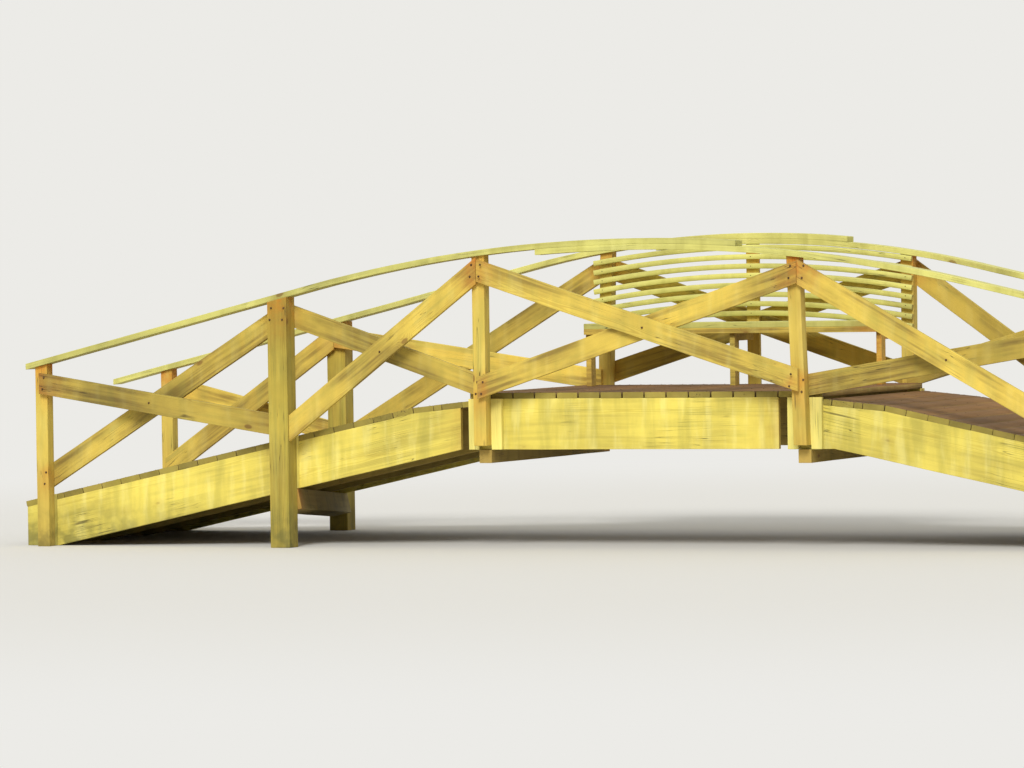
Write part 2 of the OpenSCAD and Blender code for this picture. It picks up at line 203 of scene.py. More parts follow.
@dataclass(frozen=True)
class TimberFinish:
    """Weathered softwood, read in each board's own grain direction.

    Colours come first, then how much of each coat shows, then the wood's own sizes. A pair of numbers is
    where a smooth step begins and where it is full. Reliefs are in metres.
    """

    name: str
    early: str
    late: str
    weather: str
    crown: str
    stain: str = "#b0682a"
    knot: str = "#6e4420"
    cut: str = "#b99c52"
    damp: str = "#5d5c2e"
    dark: str = "#2c2412"
    algae: str = "#928c42"
    pale: str = "#f4eb9c"
    aged: str = "#94773a"
    algae_share: float = 0.35
    pale_share: float = 0.35
    aged_share: float = 0.4
    weather_share: float = 0.55
    crown_share: float = 0.7
    stain_share: float = 0.85
    cut_share: float = 0.55
    check_share: float = 0.7
    core_share: float = 0.55
    halo_share: float = 0.13
    ring_share: float = 0.5
    fibre_share: float = 0.5
    splash_share: tuple[float, float] = (0.35, 0.75)
    vein_floor: float = 0.35
    stain_floor: float = 0.4
    blotch: float = 0.5
    tone_spread: float = 0.3
    saturation: float = 1.04
    knots: float = 0.3
    knot_rate: tuple[float, float, float] = (4.2, 8.0, 8.0)
    halo_rim: tuple[float, float] = (0.36, 0.1)
    core_rim: tuple[float, float] = (0.15, 0.08)
    check_rim: tuple[float, float] = (0.011, 0.002)
    check_sun: tuple[float, float] = (0.5, 0.62)
    weather_sun: tuple[float, float] = (0.3, 0.7)
    upright: tuple[float, float] = (0.7, 0.3)
    lying: tuple[float, float] = (0.35, 0.95)
    late_band: tuple[float, float] = (-0.1, 1.0)
    ring_mm: float = 5.0
    wander: float = 0.03
    swirl: float = 0.012
    splash: float = 0.42
    ring_relief: float = 0.00025
    fibre_relief: float = 0.0005
    check_relief: float = -0.0016
    knot_relief: float = 0.0008
    bump: float = 0.7
    roughness: float = 0.8
    weather_roughness: float = 0.88
    ior: float = 1.5

    def build(self) -> bpy.types.Material:
        """Builds the finish from growth rings, knots, checks, streaks, stains and damp.

        Returns:
            The material.
        """
        material, add = new_material(self.name)
        grain = add("ShaderNodeAttribute", out="Vector", attribute_name="grain")
        tone, mark, cut = (add("ShaderNodeAttribute", out="Fac", attribute_name=word)
                           for word in ("tone", "stain", "cut"))
        place = add("ShaderNodeTexCoord", out="Object")
        up = add(Kind.SPLIT, add("ShaderNodeNewGeometry", out="Normal"), out=2)
        height = add(Kind.SPLIT, place, out=2)
        streak, vein, aged, fibre, drift, split = (lay(add, grain, each) for each in (
            Pattern.STREAK, Pattern.VEIN, Pattern.AGED, Pattern.FIBRE, Pattern.WANDER, Pattern.CHECK))
        run, bleach, patch, cloud, dirt = (lay(add, place, each) for each in (
            Pattern.RUN, Pattern.BLEACH, Pattern.PATCH, Pattern.CLOUD, Pattern.DIRT))

        # Knots sit in cells about 240 mm long and 125 mm across, some of them empty.
        cells = add("ShaderNodeTexVoronoi", {
            "Vector": add(Kind.STRETCH, grain, self.knot_rate), "Scale": 1.0}, feature="F1").node.outputs
        chosen = add(Kind.BELOW, add("ShaderNodeSeparateColor", cells["Color"]), self.knots)
        halo, core = (add(Kind.TIMES, add(Kind.STEP, cells["Distance"], *rim), chosen)
                      for rim in (self.halo_rim, self.core_rim))

        # Growth rings run round the pith and swell past the knots.
        across = add(Kind.LENGTH, add(Kind.STRETCH, grain, (0.0, 1.0, 1.0)))
        radius = add(Kind.PLUS, add(Kind.PLUS, across, add(Kind.TIMES, drift, self.wander)),
                     add(Kind.TIMES, halo, self.swirl))
        turns = add(Kind.TIMES, radius, MM_IN_M * math.tau / self.ring_mm)
        ring = add(Kind.STEP, add(Kind.SINE, turns), *self.late_band)
        check = add(Kind.TIMES, add(Kind.STEP, add(Kind.SIZE, add(Kind.MINUS, split, 0.5)), *self.check_rim),
                    add(Kind.STEP, cloud, *self.check_sun))

        # Each coat lies over the ones before it. Rain runs only mark upright faces.
        share = add(Kind.PLUS, add(Kind.TIMES, ring, self.ring_share),
                    add(Kind.LIFT, fibre, -self.fibre_share / 2, self.fibre_share / 2))
        colour = add(Kind.BLEND, add(Kind.LARGER, share, 0.0), linear(self.early), linear(self.late))
        upright = add(Kind.STEP, add(Kind.SIZE, up), *self.upright)
        knot = add(Kind.PLUS, add(Kind.TIMES, core, self.core_share), add(Kind.TIMES, halo, self.halo_share))
        soaked = add(Kind.LIFT, patch, *self.splash_share)
        for code, amount, first, second in (
                (self.weather, self.weather_share, streak, add(Kind.STEP, cloud, *self.weather_sun)),
                (self.aged, self.aged_share, aged, add(Kind.LIFT, vein, self.vein_floor, 1.0)),
                (self.algae, self.algae_share, run, upright),
                (self.pale, self.pale_share, bleach, upright),
                (self.crown, self.crown_share, add(Kind.STEP, up, *self.lying), 1.0),
                (self.stain, self.stain_share, mark, add(Kind.LIFT, patch, self.stain_floor, 1.0)),
                (self.knot, 1.0, knot, 1.0),
                (self.cut, self.cut_share, cut, 1.0),
                (self.damp, 1.0, add(Kind.STEP, height, self.splash, 0.0), soaked),
                (self.dark, self.check_share, check, 1.0)):
            share = add(Kind.TIMES, add(Kind.TIMES, first, second), amount)
            colour = add(Kind.BLEND, share, colour, linear(code))
        # The tone sets each board's brightness; on dressed boards it also holds painted sun and shade.
        value = add(Kind.PLUS, add(Kind.LIFT, tone, 1.0 - self.tone_spread / 2, 1.0 + self.tone_spread / 2),
                    add(Kind.LIFT, dirt, -self.blotch / 2, self.blotch / 2))
        colour = add("ShaderNodeHueSaturation", {
            "Color": colour, "Value": value, "Saturation": self.saturation})

        relief = 0.0
        for depth, part in ((self.ring_relief, ring), (self.fibre_relief, fibre),
                            (self.check_relief, check), (self.knot_relief, core)):
            relief = add(Kind.PLUS, add(Kind.TIMES, part, depth), relief)
        bump = add("ShaderNodeBump", {"Height": relief, "Distance": 1.0, "Strength": self.bump})
        dull = add(Kind.LIFT, streak, self.roughness, self.weather_roughness)
        add("ShaderNodeOutputMaterial", add("ShaderNodeBsdfPrincipled", {
            "Base Color": colour, "Roughness": dull, "Normal": bump, "IOR": self.ior}))
        return material


@dataclass(frozen=True)
class MetalFinish:
    """Galvanised steel, mostly gone to rust. A pair of numbers is for the coating and for the rust."""

    name: str
    zinc: str
    rust: str
    roughness: tuple[float, float] = (0.7, 1.0)
    metallic: tuple[float, float] = (0.25, 0.0)
    relief: float = 0.0004
    ior: float = 1.6

    def build(self) -> bpy.types.Material:
        """Builds the finish.

        Returns:
            The material.
        """
        material, add = new_material(self.name)
        blot = lay(add, add("ShaderNodeTexCoord", out="Object"), Pattern.RUST)
        bump = add("ShaderNodeBump", {"Height": add(Kind.TIMES, blot, self.relief), "Distance": 1.0})
        add("ShaderNodeOutputMaterial", add("ShaderNodeBsdfPrincipled", {
            "Base Color": add(Kind.BLEND, blot, linear(self.zinc), linear(self.rust)),
            "Roughness": add(Kind.LIFT, blot, *self.roughness),
            "Metallic": add(Kind.LIFT, blot, *self.metallic), "Normal": bump, "IOR": self.ior}))
        return material


# Sawn side beams: a bright straw yellow with broad, soft green runs and few knots.
BEAM = TimberFinish("weathered_pine_beam", "#e6d468", "#ccb54f", "#b8ae58", "#a79c50", stain_share=0.25,
                    aged="#9c8c44", aged_share=0.45, knots=0.1, tone_spread=0.2)
# Sawn framing under the deck that rain and sun hardly reach: brown, dull and even, and darker than the beams as
# painted shade under the deck.
JOIST_WITH_PAINTED_SHADE = TimberFinish("shaded_pine_joist", "#a8924c", "#7d6832", "#6c6034", "#655a30", algae="#645c2c",
                     pale_share=0.0, tone_spread=0.36)
# Square piles with damp feet: browner than the beams, green below, with orange heads.
PILE = TimberFinish("weathered_pine_pile", "#c2ac4c", "#988238", "#8d8742", "#c4903c", algae="#7d7c34",
                    pale="#d8cf78", stain="#c07a2c", aged="#80682a", aged_share=0.5, pale_share=0.15,
                    knots=0.16, blotch=0.7)
# Dressed posts: clean yellow faces and orange end grain under the rail.
POST = TimberFinish("weathered_pine_post", "#dcc25e", "#ba9a46", "#b0a654", "#c48c3c", pale="#f2df86",
                    stain="#cc7c2c", pale_share=0.25, knots=0.2)
# Joint plates, newer than the rest: pale and nearly clear of knots.
PLATE = TimberFinish("weathered_pine_plate", "#e6da7c", "#cfbf66", "#c6bf70", "#b0a256", aged_share=0.15,
                     stain_share=0.2, pale_share=0.25, knots=0.08, tone_spread=0.2)
# Dressed braces: warm brown veins along the grain, each board darker or lighter than the next, and whole groups
# of braces lighter or darker with painted sun and shade.
BRACE = TimberFinish("weathered_pine_brace", "#dabf5a", "#b0903f", "#a09850", "#c8b45a", stain="#bd7432",
                     aged="#735c2c", aged_share=0.8, pale_share=0.1, algae_share=0.25,
                     knots=0.2, tone_spread=0.5, blotch=0.8)
# Bent top rails, the most exposed boards: silvered to a greenish yellow.
RAIL = TimberFinish("silvered_pine_rail", "#cfca74", "#aaa25a", "#a3a064", "#c4c07c", pale_share=0.15,
                    aged="#857a3a", knots=0.15, blotch=0.7)
# Trodden planks: dark brown, worn tops and paler sawn ends.
DECK = TimberFinish("trodden_pine_deck", "#a3884e", "#715a34", "#6f6338", "#74502c", stain="#66502a",
                    cut="#a09440", aged="#5c4a28", crown_share=0.85, pale_share=0.1, blotch=0.8,
                    tone_spread=0.5)
# Bench slats and seat: silvered like the rails, with a calmer tone.
BENCH = TimberFinish("silvered_pine_bench", "#d3ce74", "#ada558", "#a6a262", "#c5c17c", pale_share=0.15,
                     aged="#94883e", aged_share=0.3, knots=0.12)
# Hot-dipped steel heads gone brown: dark dots with no shine.
STEEL = MetalFinish("rusted_steel", zinc="#6a4a2a", rust="#402a12")


class Finishes:
    """Builds each finish once and hands out its material."""

    def __init__(self) -> None:
        """Starts with no material built."""
        self.built: dict[str, bpy.types.Material] = {}

    def get(self, finish: TimberFinish | MetalFinish) -> bpy.types.Material:
        """Gives the finish's material, building it the first time.

        Args:
            finish: The finish asked for.

        Returns:
            The material.
        """
        if finish.name not in self.built:
            self.built[finish.name] = finish.build()
        return self.built[finish.name]


def add_piece(name: str, data: bpy.types.ID | None) -> bpy.types.Object:
    """Puts an object into the scene.

    Args:
        name: Its name.
        data: Its mesh, lens or lamp.

    Returns:
        The object.
    """
    piece = bpy.data.objects.new(name, data)
    bpy.context.scene.collection.objects.link(piece)
    return piece


@dataclass
class Board:
    """One loose solid of a node: its corners and the axes along and across its grain."""

    corners: np.ndarray
    along: Vector
    across: Vector
    face: Vector
    tip_depth: float = 0.002

    @property
    def low(self) -> np.ndarray:
        """Lowest corner of the board's box."""
        return self.corners.min(axis=0)

    @property
    def high(self) -> np.ndarray:
        """Highest corner of the board's box."""
        return self.corners.max(axis=0)

    @property
    def middle(self) -> np.ndarray:
        """Middle of the board's box."""
        return (self.low + self.high) / 2

    def end_middle(self, sign: int) -> np.ndarray:
        """Middle of the board's end towards -X or +X.

        Args:
            sign: -1 or 1.

        Returns:
            The point.
        """
        reach = self.corners[:, 0] * sign
        tip = self.corners[reach > reach.max() - self.tip_depth]
        return (tip.min(axis=0) + tip.max(axis=0)) / 2


def islands(mesh: bmesh.types.BMesh) -> list[list[bmesh.types.BMVert]]:
    """Sorts a mesh's vertices into connected pieces.

    Args:
        mesh: The mesh.

    Returns:
        One list of vertices for each piece.
    """
    seen: set[int] = set()
    found = []
    mesh.verts.index_update()
    for start in mesh.verts:
        if start.index in seen:
            continue
        seen.add(start.index)
        piece, queue = [], [start]
        while queue:
            vert = queue.pop()
            piece.append(vert)
            for edge in vert.link_edges:
                other = edge.other_vert(vert)
                if other.index not in seen:
                    seen.add(other.index)
                    queue.append(other)
        found.append(piece)
    return found


def merged_copy(node: str, merge: float = 2e-5, flat_degrees: float = 0.15) -> bmesh.types.BMesh:
    """Copies a CAD node's mesh, with its triangles joined into whole faces.

    Args:
        node: The node's name.
        merge: Corners closer than this become one.
        flat_degrees: Faces that turn less than this become one.

    Returns:
        The copy.
    """
    mesh = bmesh.new()
    mesh.from_mesh(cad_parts[node].data)
    bmesh.ops.remove_doubles(mesh, verts=mesh.verts, dist=merge)
    bmesh.ops.dissolve_limit(mesh, angle_limit=math.radians(flat_degrees), verts=mesh.verts, edges=mesh.edges)
    return mesh


def board_of(piece: Sequence[bmesh.types.BMVert], crosswise: float = 0.9) -> Board:
    """Finds the grain axes of a loose solid from its longest edge.

    Args:
        piece: The solid's vertices.
        crosswise: A board that runs along Y by more than this is measured from X instead.

    Returns:
        The board.
    """
    edges = [edge for vert in piece for edge in vert.link_edges]
    longest = max(edges, key=lambda edge: edge.calc_length())
    along = (longest.verts[1].co - longest.verts[0].co).normalized()
    if along[max(range(3), key=lambda i: abs(along[i]))] < 0:
        along = -along
    helper = Vector((1, 0, 0)) if abs(along.y) > crosswise else Vector((0, 1, 0))
    face = (helper - along * helper.dot(along)).normalized()
    return Board(np.array([vert.co[:] for vert in piece]), along, along.cross(face), face)


def boards_in(node: str) -> list[Board]:
    """Lists a node's boards from left to right.

    Args:
        node: The node's name.

    Returns:
        The boards.
    """
    mesh = merged_copy(node)
    found = [board_of(piece) for piece in islands(mesh)]
    mesh.free()
    return sorted(found, key=lambda board: (round(board.middle[0], 3), board.middle[2]))


@dataclass
class Carpenter:
    """Turns CAD solids into boards with eased edges, slight bows, grain and stains.

    The shift per node is painted light and shade: it makes the boards of sunlit nodes lighter and those of
    shaded nodes darker.
    """

    finishes: Finishes
    arris: float = 0.003
    arris_angle: float = 0.3
    slice_length: float = 0.07
    warp: float = 0.0014
    warp_rate: float = 2.6
    stain_reach: float = 0.085
    stain_strength: float = 0.6
    stain_drip: float = 0.45
    stain_rise: float = 1.6
    stain_flat: float = 0.4
    end_reach: float = 0.24
    foot_stain: tuple[float, float] = (0.0, 0.3)
    head_stain: tuple[float, float] = (0.4, 1.3)
    log_length: float = 60.0
    pith_aside: float = 0.05
    pith_depth: tuple[float, float] = (0.03, 0.12)
    seed: int = 7
    stains: list[tuple[float, float, float]] = field(default_factory=list)
    # Painted sun and shade by node: a positive value paints sunlight on its boards, a negative one paints
    # shade.
    tone_shift: dict[str, float] = field(default_factory=lambda: {
        "near_left_braces": -0.35, "near_span_braces": 0.4, "near_left_pile": -0.25,
        "far_left_braces": 0.2, "near_plates": 0.2})

    def dress(self, node: str, finish: TimberFinish, slot: str, grain: Grain = Grain.STRAIGHT) -> None:
        """Makes the dressed boards that stand for a CAD node.

        Args:
            node: The node's name.
            finish: The boards' finish.
            slot: The record's material slot; not used.
            grain: How the grain lies.
        """
        draw = random.Random(f"{self.seed}{node}")
        whole = bmesh.new()
        layers = [whole.verts.layers.float_vector.new("grain"), whole.verts.layers.float.new("tone"),
                  whole.verts.layers.float.new("stain"), whole.faces.layers.float.new("cut")]
        count = len(boards_in(node))
        for index in range(count):
            self.add_board(whole, layers, node, index, grain, draw)
        data = bpy.data.meshes.new(f"{node}_boards")
        whole.to_mesh(data)
        whole.free()
        piece = add_piece(f"{node}_boards", data)
        data.materials.append(self.finishes.get(finish))
        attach(piece, "root")
        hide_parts(node)
        log.info("%s: %d boards, %d faces", node, count, len(data.polygons))

    def add_board(self, whole: bmesh.types.BMesh, layers: list, node: str, index: int, grain: Grain,
                  draw: random.Random) -> None:
        """Adds one board of a node to the dressed mesh.

        Args:
            whole: Mesh that gets the board.
            layers: The grain, tone, stain and cut layers of that mesh.
            node: The node's name.
            index: The board's number in the node.
            grain: How the grain lies.
            draw: The node's own random numbers.
        """
        mesh = merged_copy(node)
        pieces = islands(mesh)
        board = board_of(pieces[index])
        others = [vert for number, piece in enumerate(pieces) if number != index for vert in piece]
        bmesh.ops.delete(mesh, geom=others, context="VERTS")
        sharp = [edge for edge in mesh.edges if edge.calc_face_angle(0.0) > self.arris_angle]
        bmesh.ops.bevel(mesh, geom=sharp, offset=self.arris, offset_type="OFFSET", segments=2, profile=0.5,
                        affect="EDGES", clamp_overlap=True)
        self.slice(mesh, board)
        origin = Vector(board.middle)
        shift = Vector((draw.uniform(0, self.log_length), draw.uniform(-self.pith_aside, self.pith_aside),
                        draw.choice((-1, 1)) * draw.uniform(*self.pith_depth)))
        # The tone is a random draw plus the node's painted sun and shade.
        tone = draw.random() + self.tone_shift.get(node, 0.0)
        foot, head = draw.uniform(*self.foot_stain), draw.uniform(*self.head_stain)
        ends = (foot, head) if board.along.z >= 0 else (head, foot)
        crest = self.crest(board) if grain is Grain.BENT else None
        reach = [(Vector(corner) - origin).dot(board.along) for corner in board.corners]
        low, high = min(reach), max(reach)
        copies = {}
        for vert in mesh.verts:
            place = vert.co - origin
            local = Vector((place.dot(board.along), place.dot(board.face), place.dot(board.across)))
            if crest:
                local = Vector((place.x, place.y, vert.co.z - float(np.interp(vert.co.x, *crest))))
            gaps = (local.x - low, high - local.x)
            fade = max(end * (1 - gap / self.end_reach) for end, gap in zip(ends, gaps))
            bend = noise.noise_vector(vert.co * self.warp_rate) * self.warp
            new = whole.verts.new(vert.co + bend)
            new[layers[0]] = local + shift
            new[layers[1]] = tone
            new[layers[2]] = max(self.stain_at(vert.co), 0.0 if crest else fade)
            copies[vert] = new
        for face in mesh.faces:
            new_face = whole.faces.new([copies[vert] for vert in face.verts])
            sawn = abs(face.normal.dot(board.along)) > SAWN_END and not crest
            new_face[layers[3]] = 1.0 if sawn else 0.0
        mesh.free()

    def slice(self, mesh: bmesh.types.BMesh, board: Board) -> None:
        """Cuts a board across into short lengths, so that bows and stains show.

        Args:
            mesh: The board's mesh.
            board: The board's axes and corners.
        """
        reach = [Vector(corner).dot(board.along) for corner in board.corners]
        count = max(1, int((max(reach) - min(reach)) / self.slice_length))
        for step in range(1, count):
            place = min(reach) + (max(reach) - min(reach)) * step / count
            bmesh.ops.bisect_plane(mesh, geom=mesh.verts[:] + mesh.edges[:] + mesh.faces[:],
                                   plane_co=board.along * place, plane_no=board.along)

    @staticmethod
    def crest(board: Board) -> tuple[list[float], list[float]]:
        """Gives the top line of a bent board, which its grain follows.

        Args:
            board: The board.

        Returns:
            The line's X values and heights.
        """
        tops: dict[float, float] = {}
        for x, _, z in board.corners:
            key = round(float(x), 3)
            tops[key] = max(tops.get(key, -1.0), float(z))
        return sorted(tops), [tops[key] for key in sorted(tops)]

    def stain_at(self, place: Vector) -> float:
        """Tells how strongly the bolts near a point stain it, most of all below them.

        Args:
            place: The point.

        Returns:
            From 0, clean, to the strength of a stain.
        """
        best = 0.0
        for spot in self.stains:
            step = place - Vector(spot)
            below = step.z * (-self.stain_drip if step.z < 0 else self.stain_rise)
            distance = math.hypot(step.x, step.y * self.stain_flat, below)
            best = max(best, 1 - distance / self.stain_reach)
        return best * self.stain_strength


class Tool:
    """A Geometry Nodes tree with named inputs that turns points into one plain mesh."""

    def __init__(self, name: str, sizes: Sequence[str], counts: Sequence[str] = ()) -> None:
        """Starts the tree.

        Args:
            name: The tree's name.
            sizes: Names of the inputs that are sizes.
            counts: Names of the inputs that are counts, beside the seed.
        """
        self.tree = bpy.data.node_groups.new(name, "GeometryNodeTree")
        socket = self.tree.interface.new_socket
        for way in ("INPUT", "OUTPUT"):
            socket(name="Geometry", in_out=way, socket_type="NodeSocketGeometry")
        kinds = dict.fromkeys(sizes, "Float") | dict.fromkeys((*counts, "Seed"), "Int")
        kinds["Material"] = "Material"
        self.keys = {word: socket(name=word, in_out="INPUT", socket_type=f"NodeSocket{kind}").identifier
                     for word, kind in kinds.items()}
        self.add = partial(add_node, self.tree)
        self.given = self.add("NodeGroupInput").node.outputs

    def line(self, axis: int, length: Any, cuts: Any) -> bpy.types.NodeSocket:
        """Draws a straight line through the middle.

        Args:
            axis: 0 for X, 1 for Y.
            length: Its length.
            cuts: How many points it gets.

        Returns:
            The line.
        """
        half = self.add(Kind.TIMES, length, 0.5)
        ends = [self.add(Kind.JOIN, {axis: end}) for end in (self.add(Kind.TIMES, half, -1.0), half)]
        path = self.add("GeometryNodeCurvePrimitiveLine", {"Start": ends[0], "End": ends[1]})
        return self.add("GeometryNodeResampleCurve", {"Curve": path, "Count": cuts})

    def saw(self, path: Any, axis: int, width: Any, thickness: Any) -> bpy.types.NodeSocket:
        """Makes boards with eased edges along lines, and marks their sawn ends.

        Args:
            path: The lines.
            axis: Axis along which they run.
            width: Width of a board.
            thickness: Thickness of a board.

        Returns:
            The boards.
        """
        square = self.add("GeometryNodeCurvePrimitiveQuadrilateral", {"Width": width, "Height": thickness})
        profile = self.add("GeometryNodeFilletCurve", {0: square, "Radius": self.given["Arris"]}, mode="POLY")
        boards = self.add("GeometryNodeCurveToMesh", {
            "Curve": path, "Profile Curve": profile, "Fill Caps": True})
        facing = self.add(Kind.SPLIT, self.add("GeometryNodeInputNormal"), out=axis)
        sawn = self.add(Kind.ABOVE, self.add(Kind.SIZE, facing), SAWN_END)
        return self.add(Kind.MARK, boards, "cut", sawn, domain="FACE")

    def close(self, geometry: bpy.types.NodeSocket) -> None:
        """Ends the tree: instances made real, material set, output.

        Args:
            geometry: What the tree has made.
        """
        real = self.add("GeometryNodeRealizeInstances", geometry)
        self.add("NodeGroupOutput", self.add("GeometryNodeSetMaterial", {
            "Geometry": real, "Material": self.given["Material"]}))

    def run(self, name: str, points: Sequence[Sequence[float]], marks: dict[str, Sequence[Sequence[float]]],
            values: dict[str, Any]) -> bpy.types.Object:
        """Runs the tree on a set of points and keeps the result as a plain mesh.

        Args:
            name: The piece's name.
            points: Where the tree works.
            marks: Vectors that go with the points, by name.
            values: Value of each input.

        Returns:
            The piece.
        """
        data = bpy.data.meshes.new(name)
        data.from_pydata([tuple(point) for point in points], [], [])
        for word, rows in marks.items():
            layer = data.attributes.new(word, "FLOAT_VECTOR", "POINT")
            layer.data.foreach_set("vector", np.array(rows, dtype=np.float32).ravel())
        piece = add_piece(name, data)
        modifier = piece.modifiers.new("make", "NODES")
        modifier.node_group = self.tree
        for word, value in values.items():
            modifier[self.keys[word]] = value
        made = bpy.data.meshes.new_from_object(piece.evaluated_get(bpy.context.evaluated_depsgraph_get()))
        piece.modifiers.remove(modifier)
        piece.data = made
        made.name = name
        return piece


@dataclass(frozen=True)
class HeadSize:
    """Sizes of a fastener's visible end, in metres."""

    washer_radius: float
    washer_thickness: float
    head_radius: float
    head_height: float
    chamfer: float
    sides: int


class Head(Enum):
    """The fasteners that show."""

    BOLT = HeadSize(washer_radius=0.0072, washer_thickness=0.002, head_radius=0.0054, head_height=0.005,
                    chamfer=0.003, sides=6)
    NAIL = HeadSize(washer_radius=0.0035, washer_thickness=0.0006, head_radius=0.0028, head_height=0.0008,
                    chamfer=0.001, sides=8)


@dataclass
class Fasteners:
    """Bolts with washers, and nails, each kind made by one tree."""

    finishes: Finishes
    washer_sides: int = 14
    crown_share: float = 0.72
    seed: int = 11
    spots: dict[str, list[tuple[Vector, Vector]]] = field(default_factory=dict)

    def add(self, group: str, place: Sequence[float], aim: Sequence[float]) -> None:
        """Notes a fastener for one of the groups."""
        self.spots.setdefault(group, []).append((Vector(place), Vector(aim)))

    def tool(self, head: Head) -> Tool:
        """Builds the tree that sets a washer and a head at each point.

        Args:
            head: The kind of fastener.

        Returns:
            The tree.
        """
        words = ("Washer Radius", "Washer Thickness", "Head Radius", "Head Height")
        tool = Tool(f"{head.name.lower()}_heads", words)
        add, sides = tool.add, head.value.sides
        wide, thick, radius, height = (tool.given[word] for word in words)
        washer = add("GeometryNodeMeshCylinder", {
            "Vertices": self.washer_sides, "Radius": wide, "Depth": thick})
        shank = add("GeometryNodeMeshCylinder", {"Vertices": sides, "Radius": radius, "Depth": height})
        crown = add("GeometryNodeMeshCone", {
            "Vertices": sides, "Radius Bottom": radius, "Depth": head.value.chamfer,
            "Radius Top": add(Kind.TIMES, radius, self.crown_share)})
        lifts = (add(Kind.PLUS, add(Kind.TIMES, height, 0.5), thick), add(Kind.PLUS, thick, height))
        raised = [add("GeometryNodeTransform", {0: part, "Translation": add(Kind.JOIN, {2: lift})})
                  for part, lift in zip((shank, crown), lifts)]
        whole = add("GeometryNodeJoinGeometry", {0: [washer, *raised]})
        turn = add("FunctionNodeAlignRotationToVector", {"Vector": add(Kind.READ, "aim")}, axis="Z")
        angle = add(Kind.DRAW, {3: math.tau, "Seed": tool.given["Seed"]})
        spin = add("FunctionNodeAxisAngleToRotation", {"Axis": (0, 0, 1), "Angle": angle})
        turned = add("FunctionNodeRotateRotation", turn, spin, rotation_space="LOCAL")
        tool.close(add("GeometryNodeInstanceOnPoints", {
            "Points": tool.given["Geometry"], "Instance": whole, "Rotation": turned}))
        return tool

    def build(self) -> None:
        """Makes one piece for each group of bolts or nails."""
        tools = {head: self.tool(head) for head in Head}
        for group, spots in self.spots.items():
            head = Head.BOLT if "bolts" in group else Head.NAIL
            size = head.value
            piece = tools[head].run(
                group, [place for place, _ in spots], {"aim": [list(aim) for _, aim in spots]},
                {"Washer Radius": size.washer_radius, "Washer Thickness": size.washer_thickness,
                 "Head Radius": size.head_radius, "Head Height": size.head_height,
                 "Seed": self.seed, "Material": self.finishes.get(STEEL)})
            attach(piece, "root")
            log.info("%s: %d", group, len(spots))


@dataclass
class SideFrame:
    """One long side: its beams, plates, piles, posts, braces and rails."""

    side: Side
    carpenter: Carpenter
    fasteners: Fasteners
    bolt_drop: float = 0.039
    bolt_skew: float = 0.006
    bolt_inset: float = 0.034
    pile_inset: float = 0.0442
    edge_gap: float = 0.024
    pile_width: float = 0.12
    batten_depth: float = 0.06
    joint_reach: float = 0.05

    def uprights(self) -> list[Board]:
        """Finds the side's posts and piles, without the thin middle batten.

        Returns:
            The boards from left to right.
        """
        word = self.side.word
        found = boards_in(f"{word}_posts") + boards_in(f"{word}_left_pile") + boards_in(f"{word}_right_pile")
        square = [board for board in found if board.high[1] - board.low[1] > self.batten_depth]
        return sorted(square, key=lambda board: board.middle[0])

    def braces(self) -> list[Board]:
        """Gives the side's braces from left to right."""
        word = self.side.word
        return [board for part in ("left", "span", "right") for board in boards_in(f"{word}_{part}_braces")]

    def outer(self, board: Board) -> float:
        """Y of a board's outer face."""
        return float(board.low[1] if self.side is Side.NEAR else board.high[1])

    def place_bolts(self) -> None:
        """Finds the bolts: two at each brace's end and one at each crossing."""
        group, aim = f"{self.side.word}_bolts", (0, self.side.value, 0)
        uprights, braces = self.uprights(), self.braces()
        for brace in braces:
            for sign in (-1, 1):
                tip = brace.end_middle(sign)
                post = min(uprights, key=lambda board: abs(board.middle[0] - tip[0]))
                if abs(tip[0] - post.middle[0]) > self.joint_reach:
                    continue
                behind = abs(self.outer(brace)) < abs(self.outer(post))
                face = self.outer(post if behind else brace)
                wide = post.high[0] - post.low[0] > self.pile_width
                x = tip[0] - sign * (self.pile_inset if wide else self.bolt_inset)
                if behind:
                    x = min(max(x, post.low[0] + self.edge_gap), post.high[0] - self.edge_gap)
                for lift in (-1, 1):
                    spot = (x + lift * self.bolt_skew, face, tip[2] + lift * self.bolt_drop)
                    self.fasteners.add(group, spot, aim)
                    self.carpenter.stains.append(spot)
        for number in range(0, len(braces), 2):
            self.cross_bolt(group, aim, braces[number:number + 2])

    def cross_bolt(self, group: str, aim: Sequence[float], pair: Sequence[Board]) -> None:
        """Adds the bolt where two braces cross.

        Args:
            group: The fastener group.
            aim: Direction that the bolt's head faces.
            pair: The two braces of a bay.
        """
        lines = [(brace.end_middle(-1), brace.end_middle(1)) for brace in pair]
        rise = [(b[2] - a[2]) / (b[0] - a[0]) for a, b in lines]
        if len(pair) < 2 or rise[0] * rise[1] > 0:
            return
        (first, _), (second, _) = lines
        x = (second[2] - rise[1] * second[0] - first[2] + rise[0] * first[0]) / (rise[0] - rise[1])
        face = max((self.outer(brace) for brace in pair), key=lambda y: y * self.side.value)
        self.fasteners.add(group, (x, face, first[2] + rise[0] * (x - first[0])), aim)

    def build(self) -> None:
        """Dresses the side."""
        word = self.side.word
        for part in ("left_end_beam", "left_ramp_beam", "span_beam", "right_ramp_beam", "right_end_beam"):
            self.carpenter.dress(f"{word}_{part}", BEAM, "beam_pine")
        self.carpenter.dress(f"{word}_plates", PLATE, "plate_pine")
        self.carpenter.dress(f"{word}_posts", POST, "post_pine")
        for part in ("left", "right"):
            self.carpenter.dress(f"{word}_{part}_pile", PILE, "pile_pine")
            self.carpenter.dress(f"{word}_{part}_rail", RAIL, "rail_pine", Grain.BENT)
        for part in ("left", "span", "right"):
            self.carpenter.dress(f"{word}_{part}_braces", BRACE, "brace_pine")


